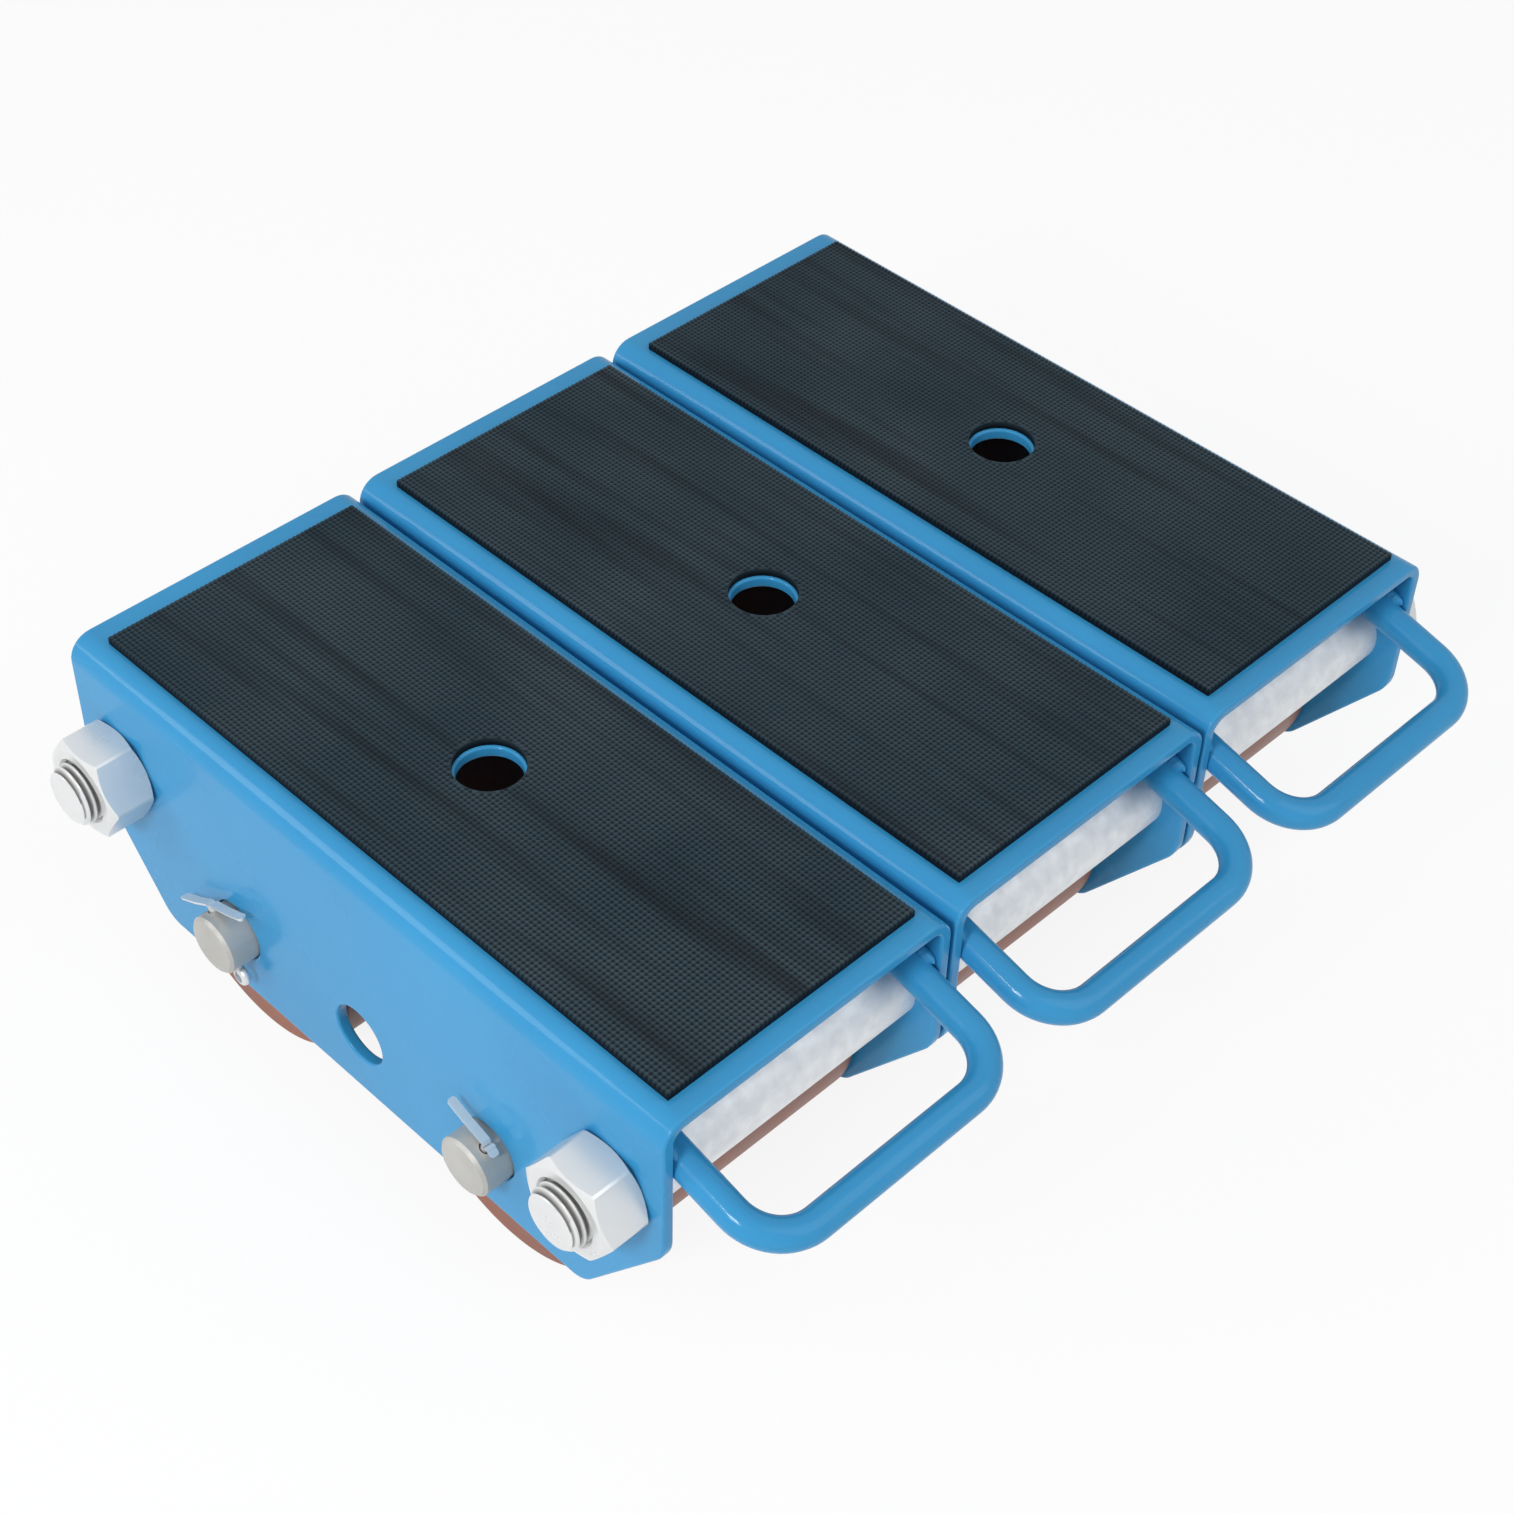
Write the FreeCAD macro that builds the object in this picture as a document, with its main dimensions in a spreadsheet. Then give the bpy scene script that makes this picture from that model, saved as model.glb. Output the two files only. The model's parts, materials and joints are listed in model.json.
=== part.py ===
import FreeCAD, Part
import math
import os
from types import SimpleNamespace

import Sketcher

# Machine skate: three roller cassettes side by side on two tie rods and two long axles.
# Frame: +X is forward, towards the pull handles, +Y is left, +Z is up, and the floor is at Z = 0.
# The origin lies on the floor under the middle of the skate's bounding box.

os.makedirs("parts", exist_ok=True)
doc = FreeCAD.newDocument("machine_skate")
sheet = doc.addObject("Spreadsheet::Sheet", "Sizes")

# Driving dimensions, in millimetres and degrees
sizes = {
    # Folded deck channels
    "channel_width": 110,
    "plate_thickness": 4,
    "bend_inner_radius": 4,
    "axle_hole_margin": 14.7,
    "bevel_run": 33,
    "bevel_rise": 44,
    "bevel_upper_radius": 14,
    "bevel_lower_radius": 10,
    "deck_hole_diameter": 20,
    "cassette_gap": 1.5,
    # Rubber pads
    "pad_thickness": 3,
    "pad_front_margin": 7.1,
    "pad_rear_margin": 10.1,
    "pad_side_margin": 8.4,
    "pad_hole_margin": 1,
    # Rollers
    "roller_diameter": 90,
    "roller_gap": 27,
    "tread_thickness": 13,
    "tread_edge_radius": 1.5,
    "core_rim_thickness": 4,
    "core_hub_wall": 4.5,
    "core_dish_depth": 6,
    "core_bore_clearance": 1.25,
    "bush_wall": 3,
    "bush_length": 32,
    "bush_running_clearance": 0.05,
    "thrust_washer_width": 7.7,
    "thrust_washer_thickness": 1.2,
    "roller_side_clearance": 0.3,
    # Axles and their split pins
    "axle_diameter": 20,
    "axle_end_margin": 3.5,
    "axle_chamfer": 1,
    "axle_clearance": 0.3,
    "pin_hole_diameter": 4,
    "pin_clearance": 0.3,
    "pin_plate_gap": 2.5,
    "pin_leg_diameter": 2.4,
    "pin_leg_length": 18,
    "pin_eye_radius": 2.4,
    "pin_spread_angle": 92,
    "pin_front_angle": -26,
    "pin_rear_angle": 25,
    # Tie rods, nuts, distance tubes and spacer washers
    "rod_diameter": 20,
    "rod_above_axle": 34.2,
    "rod_edge_margin": 3.7,
    "rod_stub_length": 5,
    "rod_chamfer": 2,
    "rod_clearance": 0.5,
    "nut_wall": 5,
    "nut_height": 16,
    "nut_thread_clearance": 0.05,
    "nut_front_angle": 55,
    "nut_rear_angle": 59,
    "tube_wall": 3,
    "tube_roller_gap": 2.8,
    "spacer_washer_width": 4.5,
    # Pull handles
    "handle_bar_diameter": 10,
    "handle_projection": 31.4,
    "handle_tail": 10,
    "handle_slope_angle": 15,
    "handle_bend_radius": 16,
    "handle_tube_gap": 2.8,
    "handle_soffit_gap": 4.24,
    "handle_weld_gap": 0.3,
    "handle_weld_length": 24,
    "handle_weld_height": 6,
}

for row, (alias, number) in enumerate(sizes.items(), start=1):
    sheet.set("A%d" % row, alias)
    sheet.set("B%d" % row, str(number))
    sheet.setAlias("B%d" % row, alias)
doc.recompute()


class Size:
    """A length or angle that carries its value and the sheet expression that gives it."""

    def __init__(self, value, text):
        self.value = value
        self.text = text

    @staticmethod
    def of(other):
        return other if isinstance(other, Size) else Size(float(other), repr(float(other)))

    def joined(self, sign, other, value):
        return Size(value, "(%s %s %s)" % (self.text, sign, other.text))

    def __add__(self, other):
        other = Size.of(other)
        return self.joined("+", other, self.value + other.value)

    def __sub__(self, other):
        other = Size.of(other)
        return self.joined("-", other, self.value - other.value)

    def __mul__(self, other):
        other = Size.of(other)
        return self.joined("*", other, self.value * other.value)

    def __truediv__(self, other):
        other = Size.of(other)
        return self.joined("/", other, self.value / other.value)

    def __neg__(self):
        return Size(-self.value, "(0 - %s)" % self.text)

    def root(self):
        return Size(math.sqrt(self.value), "sqrt(%s)" % self.text)

    def sine(self):
        return Size(math.sin(math.radians(self.value)), "sin(%s)" % self.text)

    def cosine(self):
        return Size(math.cos(math.radians(self.value)), "cos(%s)" % self.text)


size = SimpleNamespace(**{alias: Size(float(number), "Sizes." + alias) for alias, number in sizes.items()})

# Widths across the three cassettes
half_width = size.channel_width / 2
inner_width = size.channel_width - size.plate_thickness * 2
pitch = size.channel_width + size.cassette_gap
outer_face = pitch + half_width
roller_length = inner_width - (size.thrust_washer_thickness + size.roller_side_clearance) * 2

# Axles between the rollers and the floor
axle_height = size.roller_diameter / 2
axle_spacing = size.roller_diameter + size.roller_gap
axle_hole_diameter = size.axle_diameter + size.axle_clearance * 2
side_foot = axle_height - axle_hole_diameter / 2 - size.axle_hole_margin
pin_place = outer_face + size.pin_plate_gap + size.pin_hole_diameter / 2
axle_end = pin_place + size.pin_hole_diameter / 2 + size.axle_end_margin

# Tie rods, whose distance tubes just clear the rollers
rod_hole_diameter = size.rod_diameter + size.rod_clearance * 2
tube_diameter = rod_hole_diameter + size.tube_wall * 2
rod_to_axle = axle_height + tube_diameter / 2 + size.tube_roller_gap
rod_run = (rod_to_axle * rod_to_axle - size.rod_above_axle * size.rod_above_axle).root()
rod_spacing = axle_spacing + rod_run * 2
rod_height = axle_height + size.rod_above_axle
rod_end = outer_face + size.nut_height + size.rod_stub_length
hex_corner_share = 1 / math.sqrt(3)
nut_width = size.rod_diameter + size.nut_wall * 2
nut_corner = nut_width * hex_corner_share
half_length = rod_spacing / 2 + nut_corner + size.rod_edge_margin
channel_length = half_length * 2

# Pull handles, whose legs slope up over the distance tubes to the underside of the deck
handle_radius = size.handle_bar_diameter / 2
handle_sine = size.handle_slope_angle.sine()
handle_cosine = size.handle_slope_angle.cosine()
handle_reach = half_length + size.handle_projection
handle_run = handle_reach - rod_spacing / 2
handle_leg_length = (handle_run + size.handle_tail) / handle_cosine
handle_over_rod = (tube_diameter / 2 + handle_radius + size.handle_tube_gap) / handle_cosine
handle_height = rod_height + handle_over_rod - handle_run * handle_sine / handle_cosine
handle_top = handle_height + handle_leg_length * handle_sine + handle_radius * handle_cosine
soffit = handle_top + size.handle_soffit_gap
deck_top = soffit + size.plate_thickness
middle_x = -(size.handle_projection + handle_radius) / 2

sides = {"right": -1, "middle": 0, "left": 1}
ends = {"front": 1, "rear": -1}
pin_angles = {"front": size.pin_front_angle, "rear": size.pin_rear_angle}
nut_angles = {"front": size.nut_front_angle, "rear": size.nut_rear_angle}
axis_x = FreeCAD.Vector(1, 0, 0)
axis_y = FreeCAD.Vector(0, 1, 0)
axis_z = FreeCAD.Vector(0, 0, 1)
quarter_turn = 90
nodes = []


def node(item, label):
    """Marks an object as a finished sub-part with this name."""
    item.Label = label
    nodes.append(item)
    return item


def place(item, x, y, z, axis=axis_z, angle=0):
    """Turns an object about an axis and ties its position to the sheet."""
    item.Placement = FreeCAD.Placement(FreeCAD.Vector(), FreeCAD.Rotation(axis, angle))
    for name, length in (("x", x), ("y", y), ("z", z)):
        item.setExpression("Placement.Base." + name, Size.of(length).text)
    return item


def primitive(kind, name, **lengths):
    """A basic solid whose sizes are tied to the sheet."""
    solid = doc.addObject("Part::" + kind, name)
    for key, length in lengths.items():
        solid.setExpression(key, Size.of(length).text)
    return solid


def new_body(name):
    return doc.addObject("PartDesign::Body", name)


def sketch_on(body, role, name):
    sketch = body.newObject("Sketcher::SketchObject", name)
    plane = next(item for item in body.Origin.OriginFeatures if item.Role == role)
    sketch.AttachmentSupport = [(plane, "")]
    sketch.MapMode = "FlatFace"
    return sketch


def tie(sketch, constraint, length):
    index = sketch.addConstraint(constraint)
    sketch.setExpression("Constraints[%d]" % index, length.text)


def tie_point(sketch, geometry, position, point):
    """Holds a sketch point at its two coordinates, on an axis where one is zero."""
    for kind, axis, length in (("DistanceX", -2, point[0]), ("DistanceY", -1, point[1])):
        if isinstance(length, Size):
            tie(sketch, Sketcher.Constraint(kind, -1, 1, geometry, position, length.value), length)
        else:
            sketch.addConstraint(Sketcher.Constraint("PointOnObject", geometry, position, axis))


def outline(sketch, points):
    """A closed outline of straight lines through the points."""
    first = sketch.GeometryCount
    spots = [FreeCAD.Vector(Size.of(x).value, Size.of(y).value, 0) for x, y in points]
    for index, spot in enumerate(spots):
        sketch.addGeometry(Part.LineSegment(spot, spots[(index + 1) % len(spots)]), False)
    for index, point in enumerate(points):
        following = first + (index + 1) % len(points)
        sketch.addConstraint(Sketcher.Constraint("Coincident", first + index, 2, following, 1))
        tie_point(sketch, first + index, 1, point)


def circle(sketch, centre, diameter):
    spot = FreeCAD.Vector(Size.of(centre[0]).value, Size.of(centre[1]).value, 0)
    index = sketch.addGeometry(Part.Circle(spot, axis_z, diameter.value / 2), False)
    tie(sketch, Sketcher.Constraint("Diameter", index, diameter.value), diameter)
    tie_point(sketch, index, 3, centre)


def pad(body, sketch, length):
    feature = body.newObject("PartDesign::Pad", sketch.Name + "_pad")
    feature.Profile = sketch
    feature.SideType = "Symmetric"
    feature.setExpression("Length", length.text)
    doc.recompute()
    return feature


def pocket(body, sketch):
    """Cuts a sketch right through the body both ways, and makes sure that it cut something."""
    before = body.Shape.Volume
    feature = body.newObject("PartDesign::Pocket", sketch.Name + "_pocket")
    feature.Profile = sketch
    feature.Type = "ThroughAll"
    feature.SideType = "Symmetric"
    doc.recompute()
    if body.Shape.Volume >= before:
        raise RuntimeError("%s cut nothing" % sketch.Name)
    return feature


def revolve(body, sketch):
    feature = body.newObject("PartDesign::Revolution", sketch.Name + "_turned")
    feature.Profile = sketch
    feature.ReferenceAxis = (sketch, ["H_Axis"])
    doc.recompute()
    return feature


def edge_names(feature, wanted):
    names = ["Edge%d" % number for number, edge in enumerate(feature.Shape.Edges, start=1) if wanted(edge)]
    if not names:
        raise RuntimeError("%s has no such edge" % feature.Name)
    return names


def dress(body, kind, feature, wanted, length):
    """Fillets or chamfers the wanted edges of a feature."""
    dressed = body.newObject("PartDesign::" + kind, feature.Name + "_" + kind.lower())
    dressed.Base = (feature, edge_names(feature, wanted))
    dressed.setExpression("Radius" if kind == "Fillet" else "Size", length.text)
    doc.recompute()
    return dressed


near_share = 0.01


def near(number, length):
    """Whether two lengths agree to a small share of the plate's thickness."""
    return math.isclose(number, length.value, abs_tol=size.plate_thickness.value * near_share)


def is_round(edge):
    return isinstance(edge.Curve, Part.Circle)


def ring(name, outer, inner, length, x, y, z):
    """A plain ring along Y: a washer, bush, tube or tyre."""
    body = new_body(name)
    section = sketch_on(body, "XZ_Plane", name + "_section")
    circle(section, (0, 0), outer)
    circle(section, (0, 0), inner)
    pad(body, section, length)
    return place(body, x, y, z)


def group(label, members):
    """Like fasteners that share one node as separate solids."""
    gathered = doc.addObject("Part::Compound", label)
    gathered.Links = members
    return node(gathered, label)


def make_channel(side):
    """One deck channel: steel plate folded to an inverted U, bevelled at its lower corners and drilled."""
    body = new_body("channel_" + side)
    inner_half = inner_width / 2
    profile = sketch_on(body, "YZ_Plane", "fold_" + side)
    outline(profile, [
        (-half_width, side_foot),
        (-half_width, deck_top),
        (half_width, deck_top),
        (half_width, side_foot),
        (inner_half, side_foot),
        (inner_half, soffit),
        (-inner_half, soffit),
        (-inner_half, side_foot),
    ])
    solid = pad(body, profile, channel_length)

    def along_at(width, height):
        def wanted(edge):
            middle = edge.BoundBox.Center
            is_long = near(edge.Length, channel_length)
            return is_long and near(abs(middle.y), width) and near(middle.z, height)
        return wanted

    solid = dress(body, "Fillet", solid, along_at(inner_half, soffit), size.bend_inner_radius)
    outer_radius = size.bend_inner_radius + size.plate_thickness
    solid = dress(body, "Fillet", solid, along_at(half_width, deck_top), outer_radius)

    bevel_foot = half_length - size.bevel_run
    bevel_head = side_foot + size.bevel_rise
    bevels = sketch_on(body, "XZ_Plane", "bevels_" + side)
    for sign in (1, -1):
        outline(bevels, [
            (bevel_foot * sign, side_foot),
            (half_length * sign, bevel_head),
            (half_length * sign, side_foot),
        ])
    solid = pocket(body, bevels)

    def across_at(reach, height):
        def wanted(edge):
            middle = edge.BoundBox.Center
            is_short = near(edge.Length, size.plate_thickness)
            return is_short and near(abs(middle.x), reach) and near(middle.z, height)
        return wanted

    solid = dress(body, "Fillet", solid, across_at(half_length, bevel_head), size.bevel_upper_radius)
    solid = dress(body, "Fillet", solid, across_at(bevel_foot, side_foot), size.bevel_lower_radius)

    side_holes = sketch_on(body, "XZ_Plane", "side_holes_" + side)
    circle(side_holes, (0, axle_height), axle_hole_diameter)
    for sign in (1, -1):
        circle(side_holes, (axle_spacing / 2 * sign, axle_height), axle_hole_diameter)
        circle(side_holes, (rod_spacing / 2 * sign, rod_height), rod_hole_diameter)
    pocket(body, side_holes)

    deck_hole = sketch_on(body, "XY_Plane", "deck_hole_" + side)
    circle(deck_hole, (0, 0), size.deck_hole_diameter)
    pocket(body, deck_hole)
    place(body, middle_x, pitch * sides[side], 0)
    return node(body, "deck_channel_" + side)


def make_pad(side):
    """One anti-slip rubber pad, bonded to the deck, with a hole over the deck's hole."""
    body = new_body("pad_" + side)
    sheet_outline = sketch_on(body, "XY_Plane", "mat_" + side)
    back = size.pad_rear_margin - half_length
    front = half_length - size.pad_front_margin
    edge = half_width - size.pad_side_margin
    outline(sheet_outline, [(back, -edge), (front, -edge), (front, edge), (back, edge)])
    circle(sheet_outline, (0, 0), size.deck_hole_diameter + size.pad_hole_margin * 2)
    pad(body, sheet_outline, size.pad_thickness)
    place(body, middle_x, pitch * sides[side], deck_top + size.pad_thickness / 2)
    return node(body, "rubber_pad_" + side)


def make_handle(side):
    """One pull handle: round bar bent to a U, its legs welded inside the channel above the tie rod."""
    bend = size.handle_bend_radius
    half_span = inner_width / 2 - size.handle_weld_gap - handle_radius
    straight_half = half_span - bend
    bar = primitive("Cylinder", "bar_" + side, Radius=handle_radius, Height=straight_half * 2)
    place(bar, 0, -straight_half, 0, axis_x, -quarter_turn)
    pieces = [bar]
    for name, sign in (("right", -1), ("left", 1)):
        tag = "_%s_%s" % (side, name)
        leg = primitive("Cylinder", "leg" + tag, Radius=handle_radius, Height=handle_leg_length - bend)
        place(leg, -handle_leg_length, half_span * sign, 0, axis_y, quarter_turn)
        corner = primitive("Torus", "corner" + tag, Radius1=bend, Radius2=handle_radius, Angle3=quarter_turn)
        place(corner, -bend, straight_half * sign, 0, axis_z, 0 if sign > 0 else -quarter_turn)
        seam_width = handle_radius + size.handle_weld_gap
        seam = primitive("Box", "seam" + tag, Length=size.handle_weld_length, Width=seam_width,
                         Height=size.handle_weld_height)
        seam_y = half_span if sign > 0 else -half_span - seam_width
        place(seam, -handle_leg_length, seam_y, -size.handle_weld_height / 2)
        pieces += [leg, corner, seam]
    handle = doc.addObject("Part::MultiFuse", "handle_" + side)
    handle.Shapes = pieces
    handle.Refine = True
    place(handle, middle_x + handle_reach, pitch * sides[side], handle_height,
          axis_y, size.handle_slope_angle.value)
    handle.setExpression("Placement.Rotation.Angle", size.handle_slope_angle.text)
    return node(handle, "pull_handle_" + side)


def make_axle(end):
    """One axle through all three cassettes, chamfered and cross-drilled for a split pin at each end."""
    body = new_body("axle_body_" + end)
    section = sketch_on(body, "XZ_Plane", "axle_section_" + end)
    circle(section, (0, 0), size.axle_diameter)
    solid = pad(body, section, axle_end * 2)
    dress(body, "Chamfer", solid, is_round, size.axle_chamfer)
    holes = sketch_on(body, "XY_Plane", "pin_holes_" + end)
    for sign in (1, -1):
        circle(holes, (0, pin_place * sign), size.pin_hole_diameter)
    pocket(body, holes)
    turn = pin_angles[end]
    x = middle_x + axle_spacing / 2 * ends[end]
    place(body, x, 0, axle_height, axis_y, -turn.value)
    body.setExpression("Placement.Rotation.Angle", (-turn).text)
    return node(body, "axle_" + end)


def make_split_pin(end, side):
    """One split pin: an eye below the axle, a shank through it and two legs bent apart above it."""
    tag = "_%s_%s" % (end, side)
    shank_radius = size.pin_hole_diameter / 2 - size.pin_clearance
    wire_radius = size.pin_leg_diameter / 2
    axle_radius = size.axle_diameter / 2
    eye_depth = axle_radius + size.pin_clearance + size.pin_eye_radius + wire_radius
    shank_low = eye_depth - size.pin_eye_radius
    shank_top = axle_radius + size.pin_clearance + shank_radius
    eye = primitive("Torus", "pin_eye" + tag, Radius1=size.pin_eye_radius, Radius2=wire_radius)
    place(eye, 0, 0, -eye_depth, axis_x, quarter_turn)
    shank = primitive("Cylinder", "pin_shank" + tag, Radius=shank_radius, Height=shank_low + shank_top)
    place(shank, 0, 0, -shank_low)
    crotch = primitive("Sphere", "pin_crotch" + tag, Radius=shank_radius)
    place(crotch, 0, 0, shank_top)
    pieces = [eye, shank, crotch]
    for name, sign in (("forward", 1), ("backward", -1)):
        leg = primitive("Cylinder", "pin_leg_%s%s" % (name, tag), Radius=wire_radius,
                        Height=size.pin_leg_length)
        spread = size.pin_spread_angle * sign
        place(leg, 0, 0, shank_top, axis_y, spread.value)
        leg.setExpression("Placement.Rotation.Angle", spread.text)
        pieces.append(leg)
    pin = doc.addObject("Part::MultiFuse", "split_pin" + tag)
    pin.Shapes = pieces
    turn = pin_angles[end]
    y = pin_place * sides[side]
    place(pin, middle_x + axle_spacing / 2 * ends[end], y, axle_height, axis_y, -turn.value)
    pin.setExpression("Placement.Rotation.Angle", (-turn).text)
    return pin


def make_rod(end):
    """One tie rod through all six side plates, chamfered at its threaded ends."""
    body = new_body("rod_body_" + end)
    section = sketch_on(body, "XZ_Plane", "rod_section_" + end)
    circle(section, (0, 0), size.rod_diameter)
    solid = pad(body, section, rod_end * 2)
    dress(body, "Chamfer", solid, is_round, size.rod_chamfer)
    place(body, middle_x + rod_spacing / 2 * ends[end], 0, rod_height)
    return node(body, "tie_rod_" + end)


chamfer_flat_share = 0.95
chamfer_slope_share = math.sqrt(3)


def make_nut(end, side):
    """One hexagon nut with its corners chamfered at both faces, tightened on the outer side plate."""
    tag = "_%s_%s" % (end, side)
    small = nut_width / 2 * chamfer_flat_share
    large = small + size.nut_height * chamfer_slope_share
    blank = primitive("Prism", "nut_blank" + tag, Circumradius=nut_corner, Height=size.nut_height)
    blank.Polygon = 6
    place(blank, 0, 0, 0, axis_z, nut_angles[end].value)
    blank.setExpression("Placement.Rotation.Angle", nut_angles[end].text)
    lower = primitive("Cone", "nut_lower" + tag, Radius1=small, Radius2=large, Height=size.nut_height)
    upper = primitive("Cone", "nut_upper" + tag, Radius1=large, Radius2=small, Height=size.nut_height)
    shaped = doc.addObject("Part::MultiCommon", "nut_shaped" + tag)
    shaped.Shapes = [blank, lower, upper]
    bore_radius = size.rod_diameter / 2 + size.nut_thread_clearance
    bore = primitive("Cylinder", "nut_bore" + tag, Radius=bore_radius, Height=size.nut_height)
    nut = doc.addObject("Part::Cut", "nut" + tag)
    nut.Base = shaped
    nut.Tool = bore
    x = middle_x + rod_spacing / 2 * ends[end]
    return place(nut, x, outer_face * sides[side], rod_height, axis_x, -quarter_turn * sides[side])


def make_roller(end, side):
    """One roller: a polyurethane tread bonded on a turned core, with two plain bushes pressed in."""
    tag = "_%s_%s" % (end, side)
    x = middle_x + axle_spacing / 2 * ends[end]
    y = pitch * sides[side]
    core_diameter = size.roller_diameter - size.tread_thickness * 2
    half = roller_length / 2
    core_radius = core_diameter / 2
    rim_radius = core_radius - size.core_rim_thickness
    bush_bore = size.axle_diameter + size.bush_running_clearance * 2
    bush_diameter = bush_bore + size.bush_wall * 2
    seat_radius = bush_diameter / 2
    hub_radius = seat_radius + size.core_hub_wall
    bore_radius = size.axle_diameter / 2 + size.core_bore_clearance
    floor = half - size.core_dish_depth
    shoulder = half - size.bush_length

    core = new_body("core" + tag)
    section = sketch_on(core, "YZ_Plane", "core_section" + tag)
    right_half = [
        (half, core_radius), (half, rim_radius), (floor, rim_radius), (floor, hub_radius),
        (half, hub_radius), (half, seat_radius), (shoulder, seat_radius), (shoulder, bore_radius),
    ]
    left_half = [(-along, radius) for along, radius in reversed(right_half)]
    outline(section, right_half + left_half)
    revolve(core, section)
    node(place(core, x, y, axle_height), "roller_core" + tag)

    tread = ring("tread" + tag, size.roller_diameter, core_diameter, roller_length, x, y, axle_height)

    def outer_rim(edge):
        return is_round(edge) and near(edge.Curve.Radius, size.roller_diameter / 2)

    dress(tread, "Fillet", tread.Tip, outer_rim, size.tread_edge_radius)
    node(tread, "roller_tread" + tag)

    bush_middle = half - size.bush_length / 2
    bushes = [
        ring("bush%s_%s" % (tag, name), bush_diameter, bush_bore, size.bush_length,
             x, y + bush_middle * sign, axle_height)
        for name, sign in (("a", -1), ("b", 1))
    ]
    group("roller_bushes" + tag, bushes)


for side in sides:
    make_channel(side)
    make_pad(side)
    make_handle(side)

for end in ends:
    make_axle(end)
    make_rod(end)

outer_sides = [side for side in sides if sides[side] != 0]
group("split_pins", [make_split_pin(end, side) for end in ends for side in outer_sides])
group("tie_rod_nuts", [make_nut(end, side) for end in ends for side in outer_sides])

# Distance tubes on the tie rods keep each channel's side plates apart when the nuts are tightened
group("distance_tubes", [
    ring("tube_%s_%s" % (end, side), tube_diameter, rod_hole_diameter, inner_width,
         middle_x + rod_spacing / 2 * ends[end], pitch * sides[side], rod_height)
    for end in ends for side in sides
])

# Spacer washers on the tie rods set the gap between neighbouring cassettes
spacer_diameter = rod_hole_diameter + size.spacer_washer_width * 2
group("spacer_washers", [
    ring("spacer_%s_%s" % (end, side), spacer_diameter, rod_hole_diameter, size.cassette_gap,
         middle_x + rod_spacing / 2 * ends[end], pitch / 2 * sides[side], rod_height)
    for end in ends for side in outer_sides
])

# Thrust washers on the axles centre each roller between its side plates
thrust_diameter = axle_hole_diameter + size.thrust_washer_width * 2
thrust_middle = (inner_width - size.thrust_washer_thickness) / 2
group("thrust_washers", [
    ring("thrust_%s_%s_%s" % (end, side, face), thrust_diameter, axle_hole_diameter,
         size.thrust_washer_thickness, middle_x + axle_spacing / 2 * ends[end],
         pitch * sides[side] + thrust_middle * sides[face], axle_height)
    for end in ends for side in sides for face in outer_sides
])

for side in sides:
    for end in ends:
        make_roller(end, side)

doc.recompute()

for item in doc.Objects:
    if "Invalid" in item.State or "Error" in item.State:
        raise RuntimeError("%s failed: %s" % (item.Name, item.State))
for item in nodes:
    if item.Shape.isNull() or not item.Shape.isValid():
        raise RuntimeError("%s has no valid shape" % item.Label)
for item in nodes:
    item.Shape.exportStep("parts/%s.step" % item.Label)
    print(item.Label, len(item.Shape.Solids), round(item.Shape.Volume))
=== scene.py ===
import bmesh
import bpy
import cmath
import json
import math
from mathutils import Matrix, Vector
from mathutils.geometry import tessellate_polygon


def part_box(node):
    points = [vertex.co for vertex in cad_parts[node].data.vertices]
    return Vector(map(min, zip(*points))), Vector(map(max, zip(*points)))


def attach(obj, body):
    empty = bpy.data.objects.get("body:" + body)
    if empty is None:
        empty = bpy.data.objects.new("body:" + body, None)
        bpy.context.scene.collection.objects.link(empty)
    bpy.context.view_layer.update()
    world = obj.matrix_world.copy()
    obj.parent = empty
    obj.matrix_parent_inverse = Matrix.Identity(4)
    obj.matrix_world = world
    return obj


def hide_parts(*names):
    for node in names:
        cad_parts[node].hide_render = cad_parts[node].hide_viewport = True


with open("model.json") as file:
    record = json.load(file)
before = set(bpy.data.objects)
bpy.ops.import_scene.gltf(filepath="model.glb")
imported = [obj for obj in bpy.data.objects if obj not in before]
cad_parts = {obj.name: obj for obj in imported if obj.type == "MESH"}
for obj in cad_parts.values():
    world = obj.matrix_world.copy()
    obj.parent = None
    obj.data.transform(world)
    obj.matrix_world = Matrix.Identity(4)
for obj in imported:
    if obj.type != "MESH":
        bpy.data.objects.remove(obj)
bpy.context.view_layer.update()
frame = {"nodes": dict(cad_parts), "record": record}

# Deck channels
# Each cassette's frame is one 4 mm steel plate, cut and drilled flat and then folded to an inverted U.
# Its lower corners are bevelled, and it is coated all over with glossy sky-blue enamel.
mm = 0.001
sides = ("right", "middle", "left")
ends = ("front", "rear")
mounts = {mount["name"]: Vector(mount["pos_m"]) for mount in frame["record"]["mounts"]}
joint_places = {joint["name"]: Vector(joint["pos_m"]) for joint in frame["record"]["behaviour"]["joints"]}
middle_x = mounts["cross_hole"].x
axle_height = mounts["cross_hole"].z
axle_run = joint_places["roller_front_right_spin"].x - middle_x
rod_run = 109.373 * mm
rod_height = 79.2 * mm

plate = 4 * mm
bend_inside = 4 * mm
bend_middle = bend_inside + plate / 2
bend_outside = bend_inside + plate
bend_steps = 8
bevel_run = 33 * mm
bevel_rise = 44 * mm
bevel_upper_round = 14 * mm
bevel_lower_round = 10 * mm
axle_hole = 10.3 * mm
rod_hole = 10.5 * mm
deck_hole = 10 * mm
holes_per_side = 5
paint_round = 0.9 * mm
paint_steps = 3


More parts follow.
